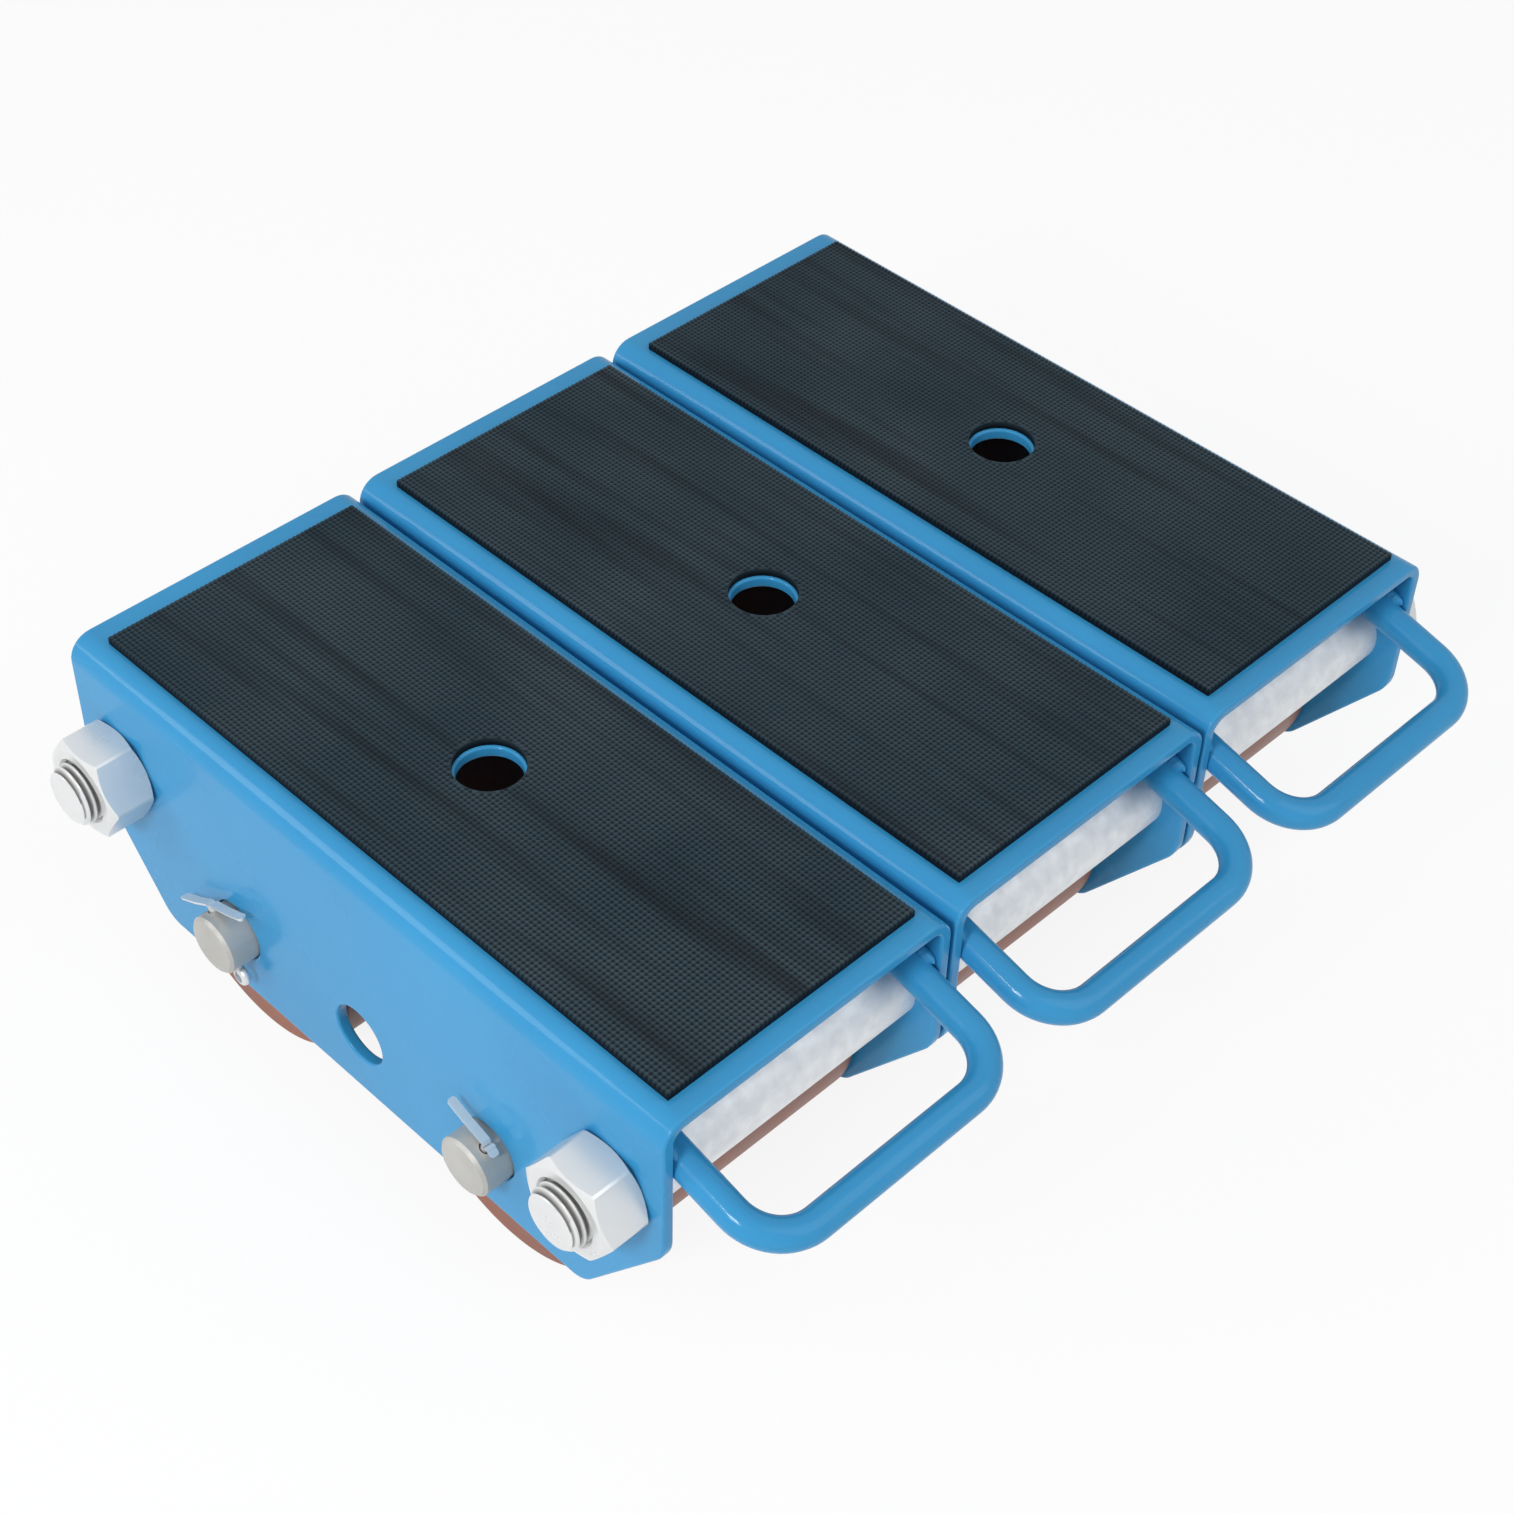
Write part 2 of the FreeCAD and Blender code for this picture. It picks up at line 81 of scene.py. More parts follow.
def rounded(before, corner, after, radius, steps=10):
    """The arc that rounds a corner of a flat blank, whose points are complex numbers."""
    into = (before - corner) / abs(before - corner)
    out = (after - corner) / abs(after - corner)
    half = abs(cmath.phase(out / into)) / 2
    bisector = (into + out) / abs(into + out)
    centre = corner + bisector * (radius / math.sin(half))
    first = corner + into * (radius / math.tan(half)) - centre
    last = corner + out * (radius / math.tan(half)) - centre
    sweep = cmath.phase(last / first)
    return [centre + first * cmath.rect(1, sweep * step / steps) for step in range(steps + 1)]


def drilled(centre, radius, steps=64):
    """A hole in a flat blank, with the plate on the left of its points."""
    return [centre + cmath.rect(radius, -math.tau * step / steps) for step in range(steps)]


def inward(loop):
    """For each point of a loop, the step that moves it one unit into the plate."""
    steps = []
    for index, point in enumerate(loop):
        before = point - loop[index - 1]
        after = loop[(index + 1) % len(loop)] - point
        first = before / abs(before) * 1j
        last = after / abs(after) * 1j
        steps.append((first + last) / (1 + (first * last.conjugate()).real))
    return steps


def new_piece(name, mesh):
    """Puts a mesh into the scene as a piece of its own."""
    piece = bpy.data.objects.new(name, mesh)
    bpy.context.scene.collection.objects.link(piece)
    return piece


def closed_mesh(name, bm, sharp_angle=None):
    """Turns a bmesh into a smooth-shaded mesh, whose sharper edges stay crisp where an angle is given."""
    bmesh.ops.recalc_face_normals(bm, faces=bm.faces)
    mesh = bpy.data.meshes.new(name)
    bm.to_mesh(mesh)
    bm.free()
    mesh.shade_smooth()
    if sharp_angle is not None:
        mesh.set_sharp_from_angle(angle=math.radians(sharp_angle))
    return mesh


def folded_channel(name, low, high, shift):
    """A drilled blank with rounded cut edges, folded down along both sides and moved into place."""
    half_length = (high.x - low.x) / 2
    half_width = (high.y - low.y) / 2
    deck_edge = half_width - bend_outside
    bend_end = deck_edge + bend_middle * math.pi / 2
    bend_height = high.z - bend_outside
    foot = bend_end + bend_height - low.z

    def fold(point, lift):
        across = abs(point.imag)
        if across <= deck_edge:
            y, z = across, high.z - plate / 2 + lift
        elif across <= bend_end:
            turn = (across - deck_edge) / bend_middle
            y = deck_edge + math.sin(turn) * (bend_middle + lift)
            z = bend_height + math.cos(turn) * (bend_middle + lift)
        else:
            y, z = half_width - plate / 2 + lift, bend_height - (across - bend_end)
        return Vector((point.real, math.copysign(y, point.imag), z)) + shift

    bend = [deck_edge + (bend_end - deck_edge) * step / bend_steps for step in range(bend_steps + 1)]
    front_end = [complex(half_length, -across) for across in reversed(bend)]
    front_end += [complex(half_length, across) for across in bend]
    upper = complex(half_length, foot - bevel_rise)
    lower = complex(half_length - bevel_run, foot)
    skirt = rounded(front_end[-1], upper, lower, bevel_upper_round)
    skirt += rounded(upper, lower, complex(0, foot), bevel_lower_round)
    skirt += [complex(-point.real, point.imag) for point in reversed(skirt)]
    half_outline = front_end + skirt
    outline = half_outline + [-point for point in half_outline]
    holes = [drilled(0, deck_hole)]
    for sign in (1, -1):
        axle_line = sign * (bend_end + bend_height - axle_height)
        rod_line = sign * (bend_end + bend_height - rod_height)
        holes += [drilled(complex(x, axle_line), axle_hole) for x in (-axle_run, 0, axle_run)]
        holes += [drilled(complex(x, rod_line), rod_hole) for x in (-rod_run, rod_run)]

    turns = [math.pi / 2 * step / paint_steps for step in range(paint_steps + 1)]
    rim = [(paint_round * (1 - math.sin(turn)), plate / 2 - paint_round * (1 - math.cos(turn)))
           for turn in turns]
    rim += [(inset, -lift) for inset, lift in reversed(rim)]
    bm = bmesh.new()
    faces = ([], [])
    for loop in [outline] + holes:
        steps = inward(loop)
        rings = [[bm.verts.new(fold(point + step * inset, lift)) for point, step in zip(loop, steps)]
                 for inset, lift in rim]
        for ring, following in zip(rings, rings[1:]):
            for index in range(len(loop)):
                bm.faces.new((ring[index - 1], ring[index], following[index], following[index - 1]))
        flat = [point + step * paint_round for point, step in zip(loop, steps)]
        faces[0].append(list(zip(flat, rings[0])))
        faces[1].append(list(zip(flat, rings[-1])))

    def fill(loops):
        corners = [corner for loop in loops for corner in loop]
        flat = [[Vector((point.real, point.imag, 0)) for point, vertex in loop] for loop in loops]
        for triangle in tessellate_polygon(flat):
            bm.faces.new([corners[index][1] for index in triangle])

    half = len(half_outline)
    bends = len(bend)
    for face in faces:
        rim_loop = face[0]
        front, back = rim_loop[:bends * 2], rim_loop[half:half + bends * 2]
        fill([[front[bends - 1], front[bends], back[bends - 1], back[bends]], face[1]])
        first_side, last_side = face[2:2 + holes_per_side], face[2 + holes_per_side:]
        fill([rim_loop[bends * 2 - 1:half + 1]] + first_side)
        fill([rim_loop[half + bends * 2 - 1:] + rim_loop[:1]] + last_side)
        for start in (0, bends):
            for step in range(start, start + bend_steps):
                opposite = bends * 2 - 1 - step
                bm.faces.new([corner[1] for corner in (front[step], front[step + 1],
                                                       back[opposite - 1], back[opposite])])
    return closed_mesh(name, bm)


def feed(tree, node, sockets):
    """Feeds a shader node's inputs with plain values or with other nodes' outputs."""
    for name, value in sockets.items():
        if isinstance(value, bpy.types.NodeSocket):
            tree.links.new(value, node.inputs[name])
        else:
            node.inputs[name].default_value = value


def wire(tree, kind, sockets=None, **settings):
    """Adds a shader node with its settings and feeds its inputs."""
    node = tree.nodes.new("ShaderNode" + kind)
    for name, value in settings.items():
        setattr(node, name, value)
    feed(tree, node, sockets or {})
    return node


def blend(tree, mask, tone, other_tone):
    """Mixes two tones by a mask and gives the colour."""
    factor, first, second, result = 0, 6, 7, 2
    node = wire(tree, "Mix", {factor: mask, first: tone, second: other_tone}, data_type="RGBA")
    return node.outputs[result]


def new_effect(name, inputs, outputs):
    """A shader node group with named inputs and outputs, shared by several finishes."""
    group = bpy.data.node_groups.new(name, "ShaderNodeTree")
    for label, value in inputs.items():
        kind = "NodeSocketColor" if isinstance(value, tuple) else "NodeSocketFloat"
        group.interface.new_socket(name=label, in_out="INPUT", socket_type=kind).default_value = value
    for label, kind in outputs.items():
        group.interface.new_socket(name=label, in_out="OUTPUT", socket_type="NodeSocket" + kind)
    return group, group.nodes.new("NodeGroupInput").outputs, group.nodes.new("NodeGroupOutput").inputs


def new_finish(name):
    """An empty material with its shader."""
    material = bpy.data.materials.new(name)
    material.use_nodes = True
    tree = material.node_tree
    tree.nodes.clear()
    shader = wire(tree, "BsdfPrincipled")
    wire(tree, "OutputMaterial", {"Surface": shader.outputs["BSDF"]})
    return material, tree, shader


# Slow drift of a finish between two tones, in patches of a given size
tone_drift, given, out = new_effect(
    "tone_drift",
    {"Tone": (0.5, 0.5, 0.5, 1.0), "Other Tone": (0.4, 0.4, 0.4, 1.0), "Scale": 20.0, "Amount": 1.0},
    {"Color": "Color", "Mask": "Float"})
place = wire(tone_drift, "TexCoord")
patches = wire(tone_drift, "TexNoise", {"Vector": place.outputs["Object"], "Scale": given["Scale"],
                                        "Detail": 4.0})
spread = wire(tone_drift, "MapRange", {"Value": patches.outputs["Fac"], "From Min": 0.35, "From Max": 0.68})
share = wire(tone_drift, "Math", {0: spread.outputs["Result"], 1: given["Amount"]}, operation="MULTIPLY")
drifted = blend(tone_drift, share.outputs[0], given["Tone"], given["Other Tone"])
tone_drift.links.new(drifted, out["Color"])
tone_drift.links.new(share.outputs[0], out["Mask"])

# Mask of the corners and edges of a piece, where a lighter tone is put on as a painted edge highlight
edge_highlight_mask, given, out = new_effect("edge_highlight_mask", {"Reach": 1.5 * mm, "Amount": 1.0}, {"Mask": "Float"})
softened = wire(edge_highlight_mask, "Bevel", {"Radius": given["Reach"]}, samples=6)
true_face = wire(edge_highlight_mask, "NewGeometry")
likeness = wire(edge_highlight_mask, "VectorMath", {0: softened.outputs["Normal"], 1: true_face.outputs["Normal"]},
                operation="DOT_PRODUCT")
edge_highlight_share = wire(edge_highlight_mask, "MapRange", {"Value": likeness.outputs["Value"], "From Min": 0.995, "From Max": 0.85})
edge_highlight_share = wire(edge_highlight_mask, "Math", {0: edge_highlight_share.outputs["Result"], 1: given["Amount"]}, operation="MULTIPLY")
edge_highlight_mask.links.new(edge_highlight_share.outputs[0], out["Mask"])

# Fine uneven skin, as of sprayed enamel, cast iron or moulded rubber
skin_height, given, out = new_effect("skin_height", {"Scale": 400.0, "Roughness": 0.5}, {"Height": "Float"})
place = wire(skin_height, "TexCoord")
pits = wire(skin_height, "TexNoise", {"Vector": place.outputs["Object"], "Scale": given["Scale"],
                                      "Detail": 3.0, "Roughness": given["Roughness"]})
skin_height.links.new(pits.outputs["Fac"], out["Height"])

enamel, tree, shader = new_finish("sky_blue_enamel")
drift = wire(tree, "Group", {"Tone": (0.035, 0.277, 0.550, 1), "Other Tone": (0.042, 0.307, 0.593, 1),
                             "Scale": 14.0, "Amount": 1.0}, node_tree=tone_drift)
# Painted highlight: the enamel is painted a lighter blue along its corners and edges
edges = wire(tree, "Group", {"Reach": 1.6 * mm, "Amount": 0.55}, node_tree=edge_highlight_mask)
edge_highlighted = blend(tree, edges.outputs["Mask"], drift.outputs["Color"], (0.075, 0.43, 0.77, 1))
peel = wire(tree, "Group", {"Scale": 420.0, "Roughness": 0.45}, node_tree=skin_height)
peel_bump = wire(tree, "Bump", {"Height": peel.outputs["Height"], "Strength": 0.06, "Distance": 1.0 * mm})
gloss = wire(tree, "MapRange", {"Value": drift.outputs["Mask"], "To Min": 0.24, "To Max": 0.34})
feed(tree, shader, {"Base Color": edge_highlighted, "Roughness": gloss.outputs["Result"],
                    "Normal": peel_bump.outputs["Normal"], "Specular IOR Level": 0.06,
                    "Coat Weight": 0.30, "Coat Roughness": 0.07})

for side in sides:
    low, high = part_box("deck_channel_" + side)
    shift = Vector((middle_x, mounts["deck_hole_" + side].y, 0))
    channel = new_piece("channel_" + side, folded_channel("channel_" + side, low, high, shift))
    channel.data.materials.append(enamel)
    channel.modifiers.new("even_faces", "WEIGHTED_NORMAL")
    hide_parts("deck_channel_" + side)
    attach(channel, "frame")

# Rubber pads
# A 3 mm mat of black rubber with a fine waffle grip is bonded on each deck and keeps the load from sliding.
# It is cut from sheet, so its edges are plain, and it has a hole over the hole of the deck.
waffle_pitch = 1.6 * mm
waffle_depth = 0.7 * mm
pad_hole = 11 * mm
near_hole = pad_hole * 1.5


def waffle_pad(name, low, high, centre):
    """A sheet with rows of small four-sided studs on top, and a round hole."""
    counts = [2 * round((high[axis] - low[axis]) / waffle_pitch) for axis in (0, 1)]
    bm = bmesh.new()
    # This vertex layer holds painted shade: dark in the grooves between the studs, half at the hole rim, full
    # on the side walls and foot
    groove_shade = bm.verts.layers.float.new("groove_shade")
    grid = []
    for row in range(counts[0] + 1):
        line = []
        for column in range(counts[1] + 1):
            sunk = 1 - row % 2 / 2 - column % 2 / 2
            line.append(bm.verts.new((low.x + (high.x - low.x) * row / counts[0],
                                      low.y + (high.y - low.y) * column / counts[1],
                                      high.z - waffle_depth * sunk)))
            line[-1][groove_shade] = sunk
        grid.append(line)
    for row, following in zip(grid, grid[1:]):
        for column in range(counts[1]):
            corners = (row[column], following[column], following[column + 1], row[column + 1])
            middle = sum((corner.co for corner in corners), Vector()) / 4 - centre
            if middle.xy.length > pad_hole:
                bm.faces.new(corners)
    bmesh.ops.delete(bm, geom=[vertex for vertex in bm.verts if not vertex.link_faces], context="VERTS")
    rim = [edge for edge in bm.edges if edge.is_boundary]
    below = {}
    for vertex in dict.fromkeys(vertex for edge in rim for vertex in edge.verts):
        spoke = (vertex.co - centre).xy
        if spoke.length < near_hole:
            spoke = spoke.normalized() * pad_hole
            vertex.co = (centre.x + spoke.x, centre.y + spoke.y, high.z - waffle_depth / 2)
            vertex[groove_shade] = 0.5
        # The side walls and foot get full painted shade
        below[vertex] = bm.verts.new((vertex.co.x, vertex.co.y, low.z))
        below[vertex][groove_shade] = 1.0
    for edge in rim:
        first = edge.link_loops[0].vert
        last = edge.other_vert(first)
        bm.faces.new((last, first, below[first], below[last]))
    foot = [edge for edge in bm.edges if edge.is_boundary]
    bmesh.ops.triangle_fill(bm, edges=foot, use_beauty=False, use_dissolve=False)
    return closed_mesh(name, bm, sharp_angle=50)


rubber, tree, shader = new_finish("black_rubber_mat")
drift = wire(tree, "Group", {"Tone": (0.030, 0.057, 0.076, 1), "Other Tone": (0.051, 0.082, 0.103, 1),
                             "Scale": 16.0, "Amount": 1.0}, node_tree=tone_drift)
place = wire(tree, "TexCoord")
along = wire(tree, "Mapping", {"Vector": place.outputs["Object"], "Scale": (6.0, 110.0, 1.0)})
streaks = wire(tree, "TexNoise", {"Vector": along.outputs["Vector"], "Scale": 1.0, "Detail": 3.0})
streaked = wire(tree, "MapRange", {"Value": streaks.outputs["Fac"], "From Min": 0.30, "From Max": 0.50,
                                   "To Min": 0.6, "To Max": 0.0})
darker = blend(tree, streaked.outputs["Result"], drift.outputs["Color"], (0.008, 0.012, 0.017, 1))
# Painted shade: the grooves between the studs, the hole rim and the pad's side walls are darkened by a vertex
# layer
sunk = wire(tree, "Attribute", attribute_name="groove_shade")
groove_shade_share = wire(tree, "MapRange", {"Value": sunk.outputs["Fac"], "From Min": 0.15, "From Max": 0.85})
groove_shaded = blend(tree, groove_shade_share.outputs["Result"], darker, (0.003, 0.005, 0.008, 1))
grain = wire(tree, "Group", {"Scale": 1500.0, "Roughness": 0.6}, node_tree=skin_height)
grain_bump = wire(tree, "Bump", {"Height": grain.outputs["Height"], "Strength": 0.15, "Distance": 0.4 * mm})
dull = wire(tree, "MapRange", {"Value": drift.outputs["Mask"], "To Min": 0.62, "To Max": 0.5})
feed(tree, shader, {"Base Color": groove_shaded, "Roughness": dull.outputs["Result"],
                    "Normal": grain_bump.outputs["Normal"], "Specular IOR Level": 0.12})

for side in sides:
    low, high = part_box("rubber_pad_" + side)
    pad = new_piece("pad_" + side, waffle_pad("pad_" + side, low, high, mounts["deck_hole_" + side]))
    pad.data.materials.append(rubber)
    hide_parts("rubber_pad_" + side)
    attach(pad, "frame")

# Pull handles
# Each is a 10 mm round steel bar bent to a U, whose legs slope up over the front distance tube.
# The legs are welded along the inside of the side plates, and bar and beads are enamelled with the channel.
bar_radius = 5 * mm
bar_bend = 16 * mm
bar_bend_steps = 16
bar_half_span = 45.7 * mm
bar_slope = math.radians(15)
leg_length = 64.622 * mm
leg_chamfer = 0.7 * mm
bead_radius = 2.3 * mm
bead_start = 0.6 * mm
bead_length = 29 * mm
bead_ripple = 1.7 * mm
bead_ripple_share = 0.07
bead_bow = 0.5 * mm
bead_end_least = 0.02
bead_end_power = 8
bead_offset = Vector((0, 3.7 * mm, 4.2 * mm))
bead_steps = 66
bead_sides = 14


def skin(bm, rings):
    """Covers a row of rings with faces and closes both its ends."""
    loops = [[bm.verts.new(point) for point in ring] for ring in rings]
    for ring, following in zip(loops, loops[1:]):
        for index in range(len(ring)):
            bm.faces.new((ring[index - 1], ring[index], following[index], following[index - 1]))
    bm.faces.new(loops[0])
    bm.faces.new(loops[-1])


def round_ring(centre, across, up, radius, steps=28):
    """Points on a circle, for the skin of a bar or bead."""
    turns = [math.tau * step / steps for step in range(steps)]
    return [centre + across * (radius * math.cos(turn)) + up * (radius * math.sin(turn)) for turn in turns]


def bent_handle(name, place):
    """A bar swept along the U, with a rippled weld bead above and below each leg, tilted into place."""
    bm = bmesh.new()
    up = Vector((0, 0, 1))
    half_path = [(Vector((-leg_length, bar_half_span, 0)), 0, bar_radius - leg_chamfer),
                 (Vector((leg_chamfer - leg_length, bar_half_span, 0)), 0, bar_radius)]
    corner = Vector((-bar_bend, bar_half_span - bar_bend, 0))
    for step in range(bar_bend_steps + 1):
        turn = math.pi / 2 * step / bar_bend_steps
        half_path.append((corner + Vector((math.sin(turn), math.cos(turn), 0)) * bar_bend, turn, bar_radius))
    path = half_path + [(Vector((spot.x, -spot.y, 0)), math.pi - turn, radius)
                        for spot, turn, radius in reversed(half_path)]
    rings = []
    for spot, turn, radius in path:
        outward = Vector((math.sin(turn), math.cos(turn), 0))
        rings.append(round_ring(spot, outward, up, radius))
    skin(bm, rings)
    turns = [math.tau * step / bead_sides for step in range(bead_sides)]
    crescent = [Vector((bead_bow * math.cos(turn), 0, 0)) for turn in turns]
    for hand in (1, -1):
        for level in (1, -1):
            rings = []
            for step in range(bead_steps + 1):
                along = step / bead_steps
                blunt_ends = math.sqrt(max(bead_end_least, 1 - abs(2 * along - 1) ** bead_end_power))
                ripple = abs(math.sin(math.pi * along * bead_length / bead_ripple))
                swell = 1 - bead_ripple_share + bead_ripple_share * ripple
                centre = Vector((bead_start - leg_length + bead_length * along, hand * bar_half_span, 0))
                centre += Vector((0, hand * bead_offset.y, level * bead_offset.z))
                ring = round_ring(centre, Vector((0, 1, 0)), up, bead_radius * blunt_ends * swell, bead_sides)
                rings.append([point + bow for point, bow in zip(ring, crescent)])
            skin(bm, rings)
    tilt = Matrix.Translation(place) @ Matrix.Rotation(bar_slope, 4, "Y")
    bmesh.ops.transform(bm, matrix=tilt, verts=bm.verts)
    return closed_mesh(name, bm, sharp_angle=40)


for side in sides:
    handle = new_piece("handle_" + side, bent_handle("handle_" + side, mounts["tow_point_" + side]))
    handle.data.materials.append(enamel)
    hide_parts("pull_handle_" + side)
    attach(handle, "frame")

# Rollers
# Each is a red-brown polyurethane tread cast on a turned iron core and then ground round.
# Two sintered bronze bushes are pressed into the core and run on the axle.

# Fine rings round an axis along Y, as a lathe tool or a grinding wheel leaves them
turned_rings, given, out = new_effect(
    "turned_rings", {"Axis X": 0.0, "Axis Z": 0.0, "Spacing": 0.6 * mm}, {"Height": "Float"})
place = wire(turned_rings, "TexCoord")
parts = wire(turned_rings, "SeparateXYZ", {"Vector": place.outputs["Object"]})
run = wire(turned_rings, "Math", {0: parts.outputs["X"], 1: given["Axis X"]}, operation="SUBTRACT")
rise = wire(turned_rings, "Math", {0: parts.outputs["Z"], 1: given["Axis Z"]}, operation="SUBTRACT")
spoke = wire(turned_rings, "CombineXYZ", {"X": run.outputs[0], "Y": rise.outputs[0]})
distance = wire(turned_rings, "VectorMath", {0: spoke.outputs["Vector"]}, operation="LENGTH")
step_in = wire(turned_rings, "Math", {0: distance.outputs["Value"], 1: parts.outputs["Y"]}, operation="ADD")
rings_in = wire(turned_rings, "Math", {0: step_in.outputs[0], 1: given["Spacing"]}, operation="DIVIDE")
uneven = wire(turned_rings, "TexNoise", {"W": rings_in.outputs[0], "Scale": 1.0, "Detail": 2.0},
              noise_dimensions="1D")
turned_rings.links.new(uneven.outputs["Fac"], out["Height"])


def turned_finish(name, axis, tones, metallic, rough, spacing, strength):
    """A turned or ground surface about one axle, with two tones and fine rings."""
    material, tree, shader = new_finish(name)
    drift = wire(tree, "Group", {"Tone": tones[0], "Other Tone": tones[1], "Scale": 45.0, "Amount": 1.0},
                 node_tree=tone_drift)
    rings = wire(tree, "Group", {"Axis X": axis.x, "Axis Z": axis.z, "Spacing": spacing},
                 node_tree=turned_rings)
    bump = wire(tree, "Bump", {"Height": rings.outputs["Height"], "Strength": strength, "Distance": 0.3 * mm})
    dull = wire(tree, "MapRange", {"Value": drift.outputs["Mask"], "To Min": rough[0], "To Max": rough[1]})
    feed(tree, shader, {"Base Color": drift.outputs["Color"], "Roughness": dull.outputs["Result"],
                        "Normal": bump.outputs["Normal"], "Metallic": metallic})
    return material


for end in ends:
    axis = joint_places["roller_%s_right_spin" % end]
    roller_finishes = {
        "tread": turned_finish("polyurethane_tread_" + end, axis,
                               tones=((0.23, 0.075, 0.045, 1), (0.30, 0.11, 0.065, 1)), metallic=0.0,
                               rough=(0.42, 0.55), spacing=0.9 * mm, strength=0.25),
        "core": turned_finish("turned_iron_" + end, axis,
                              tones=((0.19, 0.19, 0.20, 1), (0.26, 0.25, 0.25, 1)), metallic=0.9,
                              rough=(0.42, 0.55), spacing=0.5 * mm, strength=0.3),
        "bushes": turned_finish("sintered_bronze_" + end, axis,
                                tones=((0.55, 0.36, 0.15, 1), (0.64, 0.44, 0.20, 1)), metallic=1.0,
                                rough=(0.36, 0.48), spacing=0.4 * mm, strength=0.2),
    }
    for side in sides:
        for piece, material in roller_finishes.items():
            roller_node = frame["nodes"]["roller_%s_%s_%s" % (piece, end, side)]
            roller_node.material_slots[0].material = material

# Axles and thrust washers
# Two 20 mm bars of drawn steel run through all three cassettes, faced and chamfered on the lathe and
# cross-drilled for split pins. Pressed steel washers centre each roller between its side plates.
for end in ends:
    axis = joint_places["roller_%s_right_spin" % end]
    drawn_steel = turned_finish("drawn_steel_" + end, axis,
                                tones=((0.43, 0.42, 0.39, 1), (0.52, 0.51, 0.48, 1)), metallic=0.3,
                                rough=(0.34, 0.46), spacing=0.45 * mm, strength=0.18)
    frame["nodes"]["axle_" + end].material_slots[0].material = drawn_steel

zinc, tree, shader = new_finish("bright_zinc")
drift = wire(tree, "Group", {"Tone": (0.71, 0.72, 0.72, 1), "Other Tone": (0.76, 0.77, 0.77, 1),
                             "Scale": 45.0, "Amount": 1.0}, node_tree=tone_drift)
# Painted highlight: the zinc is painted near-white along its corners and edges
edges = wire(tree, "Group", {"Reach": 0.7 * mm, "Amount": 0.5}, node_tree=edge_highlight_mask)
edge_highlighted_zinc = blend(tree, edges.outputs["Mask"], drift.outputs["Color"], (0.92, 0.92, 0.90, 1))
# Painted shade: the thread roots on the rods are darkened by a vertex layer
thread_root = wire(tree, "Attribute", attribute_name="root")
rooted = blend(tree, thread_root.outputs["Fac"], edge_highlighted_zinc, (0.13, 0.12, 0.11, 1))
spangle = wire(tree, "Group", {"Scale": 700.0, "Roughness": 0.55}, node_tree=skin_height)
spangle_bump = wire(tree, "Bump", {"Height": spangle.outputs["Height"], "Strength": 0.012,
                                   "Distance": 0.4 * mm})
dull = wire(tree, "MapRange", {"Value": drift.outputs["Mask"], "To Min": 0.26, "To Max": 0.36})
feed(tree, shader, {"Base Color": rooted, "Roughness": dull.outputs["Result"],
                    "Normal": spangle_bump.outputs["Normal"], "Metallic": 0.4})
frame["nodes"]["thrust_washers"].material_slots[0].material = zinc

# Split pins
# Each is half-round steel wire folded to an eye, pushed up through the axle and opened above it.
# Zinc-plated pins at both ends of both axles keep the axles from working out.
pin_wire = 1.5 * mm
pin_wire_steps = 10
pin_tip = ((0, 0.55), (0.5 * mm, 0.9), (1.0 * mm, 1.0))
pin_eye = 1.9 * mm
pin_eye_depth = 13.9 * mm
pin_neck = 3.04 * mm
pin_crotch = 12 * mm
pin_bend = 1.6 * mm
pin_bend_drop = 1.0 * mm
pin_bend_steps = 8
pin_spread = math.radians(92)
pin_turns = {"front": math.radians(-26), "rear": math.radians(25)}
pin_legs = {"front": (4 * mm, 17 * mm), "rear": (18 * mm, 18 * mm)}
pin_reach = 171 * mm


def half_round(spot, outward, side, width):
    """The section of half-round wire: flat towards the other leg, round on the outside."""
    arc = [math.pi * (step / pin_wire_steps - 0.5) for step in range(pin_wire_steps + 1)]
    return [spot + outward * (width * math.cos(turn)) + side * (width * math.sin(turn)) for turn in arc]


